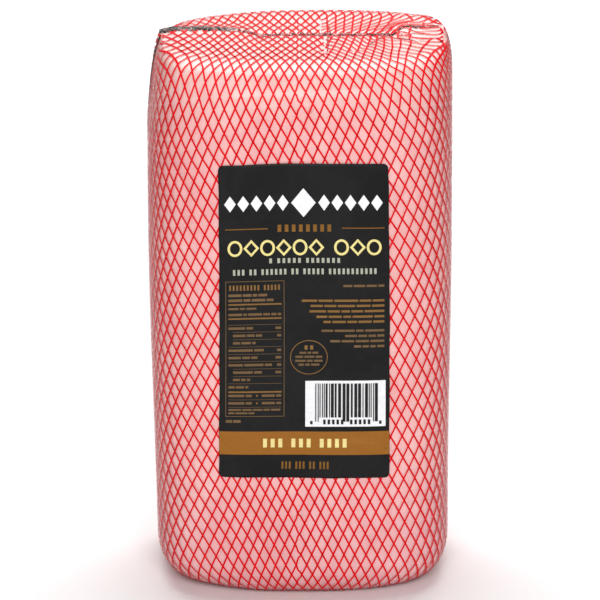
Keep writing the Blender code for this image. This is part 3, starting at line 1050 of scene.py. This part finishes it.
def make_seal(material):
    """The sealed edge of the film: a dark folded fin at the left that thins to a crumpled line."""
    left = -HALF_WIDTH + SHOULDER_SIDE[0] + LEAN[0] - SEAL_PAST_LEFT
    right = HALF_WIDTH - SHOULDER_SIDE[1] - LEAN[1] - SEAL_SHORT_RIGHT
    x = np.linspace(left, right, SEAL_POINTS)
    uneven = 0.5 + 0.5 * np.sin(x * SEAL_WAVES[0] + 1.7 * np.sin(x * SEAL_WAVES[1]))
    chatter = np.sin(x * SEAL_CHATTER[0]) * 0.5 + np.sin(x * SEAL_CHATTER[1] + 1.0) * 0.5
    fin = smooth((SEAL_FIN_END - x) / SEAL_FIN_EASE)
    beyond = smooth((x - JUNCTION) / SEAL_FORK_EASE)
    fin_ahead = 0.0014 + 0.0005 * uneven + 0.0003 * chatter
    ahead = 0.00075 + 0.00045 * uneven + fin * fin_ahead - 0.0002 * beyond
    behind = 0.0006 + 0.00035 * uneven - 0.0001 * beyond
    proud = 0.00058 + 0.00035 * uneven + 0.00005 * fin - 0.0002 * beyond
    seam = seam_line(x)
    wander = 0.00022 * chatter * (1.0 - fin)
    lines = [
        cap_point(x, seam - ahead, SUNK),
        cap_point(x, seam - ahead * 0.8 + wander, proud * 0.7 + 0.00008 * chatter),
        cap_point(x, seam - ahead * 0.35 + wander, proud),
        cap_point(x, seam + behind * 0.3 + wander, proud + 0.0001 * chatter),
        cap_point(x, seam + behind, SUNK),
    ]
    return make_strip("end_seal_fin", lines, material)


def make_folds(material):
    """Narrow folds of the film on the end: the creases, and those that leave the junction."""
    made = []
    for name, start, end, proud, half, bend in FOLDS:
        along = np.linspace(0.0, 1.0, FOLD_POINTS)
        x = start[0] + (end[0] - start[0]) * along
        y = start[1] + (end[1] - start[1]) * along
        length = math.hypot(end[0] - start[0], end[1] - start[1])
        side_x = -(end[1] - start[1]) / length
        side_y = (end[0] - start[0]) / length
        waver = FOLD_WAVER * np.sin(along * length * FOLD_WAVES)
        bow = bend * np.sin(along * math.pi) + waver
        fade = smooth((1.0 - along) / 0.6) * smooth(along / 0.06 + 0.3)
        lines = []
        for offset, rise in ((-1.0, SUNK), (-0.4, 0.8), (0.3, 1.0), (1.0, SUNK)):
            across = bow + offset * half * (0.35 + 0.65 * fade)
            lift = proud * fade * rise + FOLD_EDGE if rise > 0.0 else rise
            lines.append(cap_point(x + side_x * across, y + side_y * across, lift))
        made.append(make_strip(name, lines, material))
    return made


def make_side_fin(name, place, drop, length, widths, material):
    """The end of the seal where it turns down a side wall and lies flat against it."""
    part = np.linspace(0.0, 1.0, SIDE_FIN_POINTS)
    height = HEIGHT - drop - length * part
    along = np.interp(height, STATIONS[6], STATIONS[0])
    around = np.full_like(along, place) + SIDE_FIN_WAVER * np.sin(part * SIDE_FIN_WAVES)
    fade = np.clip(1.0 - part, 0.0, 1.0) ** 1.5
    lines = []
    for number, offset in enumerate(widths):
        edge = number in (0, len(widths) - 1)
        rise = SIDE_FIN_EDGE if edge else SIDE_FIN_PROUD * fade[:, None]
        narrow = around + offset * (SIDE_FIN_NARROW + (1.0 - SIDE_FIN_NARROW) * fade)
        lines.append(surface(narrow, along, 0.00002 + rise))
    return make_strip(name, lines, material)


def front_table():
    """Depth of the front wall on a grid of places across and heights."""
    margin = 0.004
    heights = np.linspace(LABEL_BOTTOM - margin, LABEL_TOP + margin, 90)
    across = np.linspace(LABEL_LEFT - margin, LABEL_RIGHT + margin, 120)
    around = np.linspace(-0.075, 0.075, 801)
    depth = np.empty((len(heights), len(across)))
    for row, height in enumerate(heights):
        line = surface(around, np.full_like(around, along_at(height)))
        depth[row] = np.interp(across, line[:, 0] + FOOTPRINT_X, line[:, 1])
    return across, heights, depth


ACROSS, HEIGHTS, FRONT = front_table()


def front_depth(x, z):
    """Depth of the front wall at places across and heights, read from the grid."""
    column = np.clip((x - ACROSS[0]) / (ACROSS[1] - ACROSS[0]), 0.0, len(ACROSS) - 1.001)
    row = np.clip((z - HEIGHTS[0]) / (HEIGHTS[1] - HEIGHTS[0]), 0.0, len(HEIGHTS) - 1.001)
    c = column.astype(int)
    r = row.astype(int)
    u = column - c
    v = row - r
    low = FRONT[r, c] * (1.0 - u) + FRONT[r, c + 1] * u
    high = FRONT[r + 1, c] * (1.0 - u) + FRONT[r + 1, c + 1] * u
    return low * (1.0 - v) + high * v


def label_point(right, down, proud):
    """A point on the label, from its left edge and its top edge, off the film by a distance."""
    x = LABEL_LEFT + np.asarray(right, dtype=float)
    z = LABEL_TOP - np.asarray(down, dtype=float)
    ripple = 0.00006 * np.sin(x * 190.0 + z * 60.0) + 0.00005 * np.sin(z * 210.0 - x * 90.0)
    step = 0.0005
    slope = (front_depth(x + step, z) - front_depth(x - step, z)) / (2.0 * step)
    size = np.hypot(1.0, slope)
    out = proud + ripple
    y = front_depth(x, z) - out / size
    return np.stack((x + out * slope / size - FOOTPRINT_X, y, z), axis=-1)


def printed_point(right, down, proud):
    """A point on the label from its place on a drawing of the label, 94 wide and 180 high.

    The label was laid on by hand and drawn a little out of true as the film shrank: its rows
    arch, its foot hangs lower at the ends, and its right edge leans in at the top.
    """
    across = np.asarray(right, dtype=float) / DRAWN_WIDTH
    fall = np.asarray(down, dtype=float) / DRAWN_HEIGHT
    off_middle = across * 2.0 - 1.0
    arch = (0.001 + 0.00075 * np.clip(1.0 - fall, 0.0, 1.0) ** 3) * (1.0 - off_middle ** 2)
    ends = -0.0004 * smooth(fall / 0.3) - 0.0013 * np.clip(fall, 0.0, 1.0) ** 4
    tilt = (0.00035 - 0.001 * fall ** 2) * off_middle
    lean = -0.001 * across * np.clip(1.0 - fall / 0.45, 0.0, 1.0)
    waist = 0.0005 * (1.0 - across) * 4.0 * fall * (1.0 - fall)
    return label_point(
        across * LABEL_WIDTH + lean + waist, fall * LABEL_HEIGHT - arch - ends - tilt, proud)


def make_label(material):
    """The label sheet, with rounded corners and edges that waver a little."""
    columns = 96
    levels = 150
    right, down = np.meshgrid(np.linspace(0.0, 1.0, columns), np.linspace(0.0, 1.0, levels))
    x = (right - 0.5) * LABEL_WIDTH
    z = (down - 0.5) * LABEL_HEIGHT
    over_x = np.abs(x) - (LABEL_WIDTH / 2.0 - LABEL_CORNER)
    over_z = np.abs(z) - (LABEL_HEIGHT / 2.0 - LABEL_CORNER)
    rounded = (over_x > 0.0) & (over_z > 0.0)
    reach = np.maximum(over_x, over_z)
    scale = np.where(rounded, reach / np.maximum(np.hypot(over_x, over_z), 1e-9), 1.0)
    x = np.where(rounded, np.sign(x) * (LABEL_WIDTH / 2.0 - LABEL_CORNER + over_x * scale), x)
    z = np.where(rounded, np.sign(z) * (LABEL_HEIGHT / 2.0 - LABEL_CORNER + over_z * scale), z)
    near_side = smooth(np.abs(right - 0.5) * 10.0 - 4.0)
    near_end = smooth(np.abs(down - 0.5) * 16.0 - 7.0)
    x = x + LABEL_WAVE * near_side * (np.sin(z * 170.0 + 1.0) + 0.5 * np.sin(z * 410.0))
    z = z + LABEL_WAVE * near_end * (np.sin(x * 150.0) + 0.5 * np.sin(x * 390.0 + 2.0))
    drawn_x = (x / LABEL_WIDTH + 0.5) * DRAWN_WIDTH
    drawn_z = (z / LABEL_HEIGHT + 0.5) * DRAWN_HEIGHT
    points = printed_point(drawn_x, drawn_z, LABEL_PROUD).reshape(-1, 3)
    faces = grid_faces(levels, columns, FACING_OUT)
    made = new_mesh("label_sheet", points, faces, material)
    thick = made.modifiers.new("thickness", "SOLIDIFY")
    thick.thickness = LABEL_THICK
    thick.offset = -1.0
    return made


class Print:
    """Flat shapes in one ink that follow the label, in the units of its drawing."""

    def __init__(self, lift=INK_LIFT):
        self.points = []
        self.faces = []
        self.proud = LABEL_PROUD + lift

    def add(self, right, down, faces):
        """Points at places on the drawing, and faces whose corners count from the first."""
        start = len(self.points)
        self.points.extend(printed_point(right, down, self.proud).reshape(-1, 3).tolist())
        self.faces.extend(tuple(start + corner for corner in face) for face in faces)

    def shape(self, outline):
        """A convex shape from its corners, as right and down."""
        corners = np.array(outline)
        count = len(corners)
        right, down = np.concatenate((corners, corners.mean(axis=0)[None])).T
        self.add(right, down, [(corner, (corner + 1) % count, count) for corner in range(count)])

    def bar(self, left, right, top, bottom):
        """A rectangle, cut into pieces short enough to follow the curve of the label."""
        across = max(1, round((right - left) / 4.0)) + 1
        down = max(1, round((bottom - top) / 6.0)) + 1
        grid = np.meshgrid(np.linspace(left, right, across), np.linspace(top, bottom, down))
        self.add(*grid, grid_faces(down, across, FACING_OUT))

    def bars(self, left, right, top, bottom, lengths, gap=0.7):
        """A line of plain bars with the given relative lengths."""
        free = right - left - gap * (len(lengths) - 1)
        place = left
        for length in lengths:
            run = free * length / sum(lengths)
            self.bar(place, place + run, top, bottom)
            place += run + gap

    def blocks(self, left, right, top, bottom, counts, space):
        """A line of plain upright blocks in groups, each group as many blocks as its count."""
        groups = len(counts)
        step = (right - left - space * (groups - 1)) / sum(counts)
        place = left
        for count in counts:
            for _ in range(count):
                self.bar(place + 0.24 * step, place + 0.76 * step, top, bottom)
                place += step
            place += space

    def loop(self, right, down, half_wide, half_high, line, corners=48):
        """A thin closed loop, round or, with four corners, a lozenge."""
        angle = np.linspace(0.0, 2.0 * math.pi, corners, endpoint=False)
        inset = np.array([[0.0], [line]])
        x = right + (half_wide - inset) * np.cos(angle)
        y = down + (half_high - inset) * np.sin(angle)
        self.add(x, y, grid_faces(2, corners, closed=True))

    def lozenge(self, right, down, half_wide, half_high):
        """A solid lozenge."""
        self.shape(((right - half_wide, down), (right, down + half_high),
                    (right + half_wide, down), (right, down - half_high)))


def print_headings():
    """White, pale yellow, cream and gold rows of lozenges, rings and small upright blocks."""
    white = Print()
    white.lozenge(46.9, 22.2, 6.8, 8.2)
    for number in range(5):
        offset = 11.4 + 7.3 * number
        for side in (-1.0, 1.0):
            white.lozenge(46.9 + side * offset, 22.2, 3.2, 4.6)
    yellow = Print()
    for first, count in ((9.1, 6), (68.0, 3)):
        for number in range(count):
            right = first + 9.0 * number - 0.3
            if number % 2 == 0:
                yellow.loop(right, 47.7, 4.1, 4.6, 1.35)
            else:
                yellow.loop(right, 47.7, 4.4, 4.9, 1.75, corners=4)
    cream = Print()
    cream.blocks(27.0, 67.5, 53.8, 56.6, (1, 5, 7), 1.6)
    cream.blocks(7.0, 87.5, 59.9, 63.2, (3, 2, 6, 2, 5, 11), 1.6)
    gold = Print()
    gold.bar(3.5, 27.0, 36.4, 36.95)
    gold.bar(68.0, 91.5, 36.4, 36.95)
    gold.blocks(31.5, 63.0, 34.6, 38.7, (8,), 0.0)
    gold.blocks(34.0, 61.0, 170.7, 174.9, (3, 3, 2, 3), 1.6)
    return white, yellow, cream, gold


def print_facts(orange, brown):
    """A plain table: a frame, a title bar, three heavy rules and rows between thin rules."""
    left, right, top, bottom = 3.4, 35.9, 66.6, 144.9
    first, last = left + 1.6, right - 1.6
    line = 0.35
    brown.bar(left, right, top, top + line)
    brown.bar(left, right, bottom - line, bottom)
    brown.bar(left, left + line, top + line, bottom - line)
    brown.bar(right - line, right, top + line, bottom - line)
    orange.blocks(first, right - 2.0, 68.9, 72.0, (9, 5), 1.6)
    brown.bars(first, left + 23.0, 74.0, 75.5, (3.0, 2.0, 1.0, 2.0))
    brown.bars(first, left + 26.5, 76.9, 78.4, (4.0, 2.0, 4.0, 2.0))
    for heavy in (79.6, 87.8, 130.2):
        orange.bar(first, last, heavy, heavy + 0.9)
    brown.bars(first, left + 17.0, 81.9, 83.1, (3.0, 1.6, 3.0))
    brown.bars(first, right - 1.8, 85.2, 86.6, (4.0, 1.0, 4.0, 2.0, 1.5, 1.0))
    rows = ((0.0, 13.5, 1), (2.5, 18.5, 1), (2.5, 15.0, 0), (0.0, 19.5, 1), (0.0, 16.0, 1),
            (0.0, 24.0, 1), (2.5, 18.5, 1), (2.5, 12.0, 0), (0.0, 11.0, 0))
    for number, (indent, length, value) in enumerate(rows):
        rule = 91.7 + 4.25 * number
        brown.bar(first + indent, last, rule, rule + 0.22)
        bars = ((5.0, 2.0), (4.0, 2.5, 2.0), (3.0, 4.0, 1.5))[number % 3]
        brown.bars(first + indent, first + length, rule + 1.4, rule + 2.8, bars)
        if value:
            brown.bar(right - 5.0 + 0.9 * (number % 2), right - 1.8, rule + 1.4, rule + 2.8)
    for rule in (135.0, 139.3):
        brown.bar(first, last, rule, rule + 0.22)
        brown.bars(first, left + 14.5, rule - 2.9, rule - 1.5, (4.0, 1.5))
        orange.lozenge(left + 17.3, rule - 2.2, 0.7, 0.7)
        brown.bars(left + 20.0, right - 1.8, rule - 2.9, rule - 1.5, (4.0, 1.5))
    brown.bars(first, right - 2.2, 140.4, 141.5, (4.0, 3.0, 3.0, 2.0, 3.0), 0.6)
    brown.bars(first, left + 16.0, 142.3, 143.4, (2.0, 4.0, 2.0), 0.6)


def print_lines(orange, brown):
    """Right-aligned lines of small bars, and a ring with bars in it."""
    rng = np.random.default_rng(7)
    for down, left in ((70.0, 68.5), (95.8, 56.3), (98.8, 69.4), (101.8, 61.2), (104.8, 74.3)):
        brown.bars(left, 91.0, down - 0.65, down + 0.65, rng.uniform(2.0, 6.0, 4), 0.8)
    for down, left in ((78.5, 45.5), (81.5, 50.3), (84.6, 49.7), (87.7, 53.6), (90.7, 57.4)):
        orange.bars(left, 91.0, down - 0.65, down + 0.65, rng.uniform(2.0, 6.0, 5), 0.8)
    orange.loop(49.4, 111.0, 10.4, 9.8, 0.42)
    orange.blocks(46.3, 52.5, 104.2, 106.6, (2,), 0.0)
    for down, half in ((108.4, 5.2), (110.7, 7.4), (113.0, 7.6), (115.2, 5.8)):
        brown.bars(49.4 - half, 49.4 + half, down - 0.6, down + 0.6, rng.uniform(2.0, 5.0, 3))
    brown.bars(3.6, 11.8, 146.8, 148.4, (1.0, 1.2), 0.5)


def print_bar_code():
    """A white panel with plain stripes of made-up widths and a row of small blocks."""
    panel = Print()
    panel.bar(47.5, 91.8, 124.5, 150.7)
    stripes = Print(STRIPE_LIFT)
    rng = np.random.default_rng(21)
    edges = []
    place = 53.0
    while place < 85.9:
        width = float(rng.choice((0.55, 0.55, 1.1, 1.65)))
        edges.append((place, place + width))
        place += width + float(rng.choice((0.45, 0.45, 0.8)))
    guards = (0, 1, len(edges) // 2, len(edges) // 2 + 1, len(edges) - 2, len(edges) - 1)
    for number, (left, right) in enumerate(edges):
        stripes.bar(left, right, 126.0, 147.8 if number in guards else 145.4)
    for first, count in ((50.2, 1), (57.4, 5), (72.2, 5), (88.2, 1)):
        for number in range(count):
            left = first + 2.45 * number
            stripes.bar(left, left + 1.35, 146.6 if count > 1 else 147.4, 149.3)
    return panel, stripes


def make_label_print():
    """Everything printed on the label, one piece for each ink."""
    white, yellow, cream, gold = print_headings()
    orange = Print()
    brown = Print()
    print_facts(orange, brown)
    print_lines(orange, brown)
    panel, stripes = print_bar_code()
    band = Print()
    band.bar(0.15, 93.85, 153.5, 166.8)
    band_line = Print(LATER_INK_LIFT)
    band_line.blocks(23.2, 71.4, 157.6, 162.6, (3, 3, 4), 3.0)
    inks = {name: ink_material(name) for name in INKS}
    pieces = (
        ("label_print_white", white, "white"), ("label_print_yellow", yellow, "pale"),
        ("label_print_cream", cream, "cream"), ("label_print_gold", gold, "gold"),
        ("label_print_orange", orange, "orange"), ("label_print_brown", brown, "brown"),
        ("label_bar_panel", panel, "white"), ("label_bar_stripes", stripes, "black"),
        ("label_band", band, "band"), ("label_band_line", band_line, "pale"),
    )
    return [new_mesh(name, drawn.points, drawn.faces, inks[ink]) for name, drawn, ink in pieces]


def area_light(name, place, aim, size, power):
    """A soft white rectangular light that faces a point."""
    data = bpy.data.lights.new(name, "AREA")
    data.shape = "RECTANGLE"
    data.size, data.size_y = size
    data.energy = power
    lamp = bpy.data.objects.new(name, data)
    bpy.context.scene.collection.objects.link(lamp)
    lamp.location = place
    direction = Vector(np.array(aim) - np.array(place))
    lamp.rotation_euler = direction.to_track_quat("-Z", "Y").to_euler()


def make_stage():
    """Pale floor, and soft light from in front, above and behind."""
    floor_material = Shader("pale_floor", Roughness=0.9)
    floor_material.shader.inputs["Base Color"].default_value = FLOOR_COLOUR
    signs = ((-1.0, -1.0), (1.0, -1.0), (1.0, 1.0), (-1.0, 1.0))
    corners = [(FLOOR_REACH * x, FLOOR_REACH * y, 0.0) for x, y in signs]
    floor = new_mesh("floor", corners, [(0, 1, 2, 3)], floor_material.material)
    bpy.context.scene.view_settings.view_transform = "Standard"
    world = bpy.data.worlds.new("studio")
    bpy.context.scene.world = world
    world.use_nodes = True
    background = world.node_tree.nodes["Background"]
    background.inputs["Color"].default_value = (1.0, 1.0, 1.0, 1.0)
    background.inputs["Strength"].default_value = WORLD_LIGHT
    for light in LIGHTS:
        area_light(*light)


def make_camera():
    """The photograph's view."""
    data = bpy.data.cameras.new("camera")
    data.lens = CAMERA_LENS
    data.sensor_width = CAMERA_SENSOR
    data.sensor_fit = "HORIZONTAL"
    data.clip_start = 0.05
    data.clip_end = 30.0
    camera = bpy.data.objects.new("camera", data)
    bpy.context.scene.collection.objects.link(camera)
    forward = (math.cos(CAMERA_ELEVATION), -math.sin(CAMERA_ELEVATION))
    upward = (math.sin(CAMERA_ELEVATION), math.cos(CAMERA_ELEVATION))
    camera.location = (
        CAMERA_AIM[0],
        CAMERA_AIM[1] - CAMERA_DISTANCE * forward[0] + CAMERA_RAISE * upward[0],
        CAMERA_AIM[2] - CAMERA_DISTANCE * forward[1] + CAMERA_RAISE * upward[1],
    )
    camera.rotation_euler = (math.pi / 2.0 - CAMERA_ELEVATION, 0.0, 0.0)
    bpy.context.scene.camera = camera


def main():
    """Build every piece on the frame."""
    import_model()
    cad_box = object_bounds()
    make_camera()
    make_stage()
    rows = rows_along(0.006, 0.003, 0.002, 0.002)
    meat = make_shell("ham_meat", 220, rows, -MEAT_DEPTH, meat_material())
    rows = rows_along(0.0042, 0.0024, 0.0013, 0.0012)
    film = make_shell("clear_film", 400, rows, 0.0, film_material())
    keep(meat, "film", "ham_pack")
    keep(film, "film", "ham_pack")
    keep(make_net(net_material()), "film")
    seal = seal_material()
    keep(make_seal(seal), "film")
    for piece in make_folds(fold_shadow_material()):
        keep(piece, "film")
    for side_fin in SIDE_FINS:
        keep(make_side_fin(*side_fin, seal), "film")
    keep(make_label(label_material()), "label", "label")
    for piece in make_label_print():
        keep(piece, "label")
    return cad_box


main()
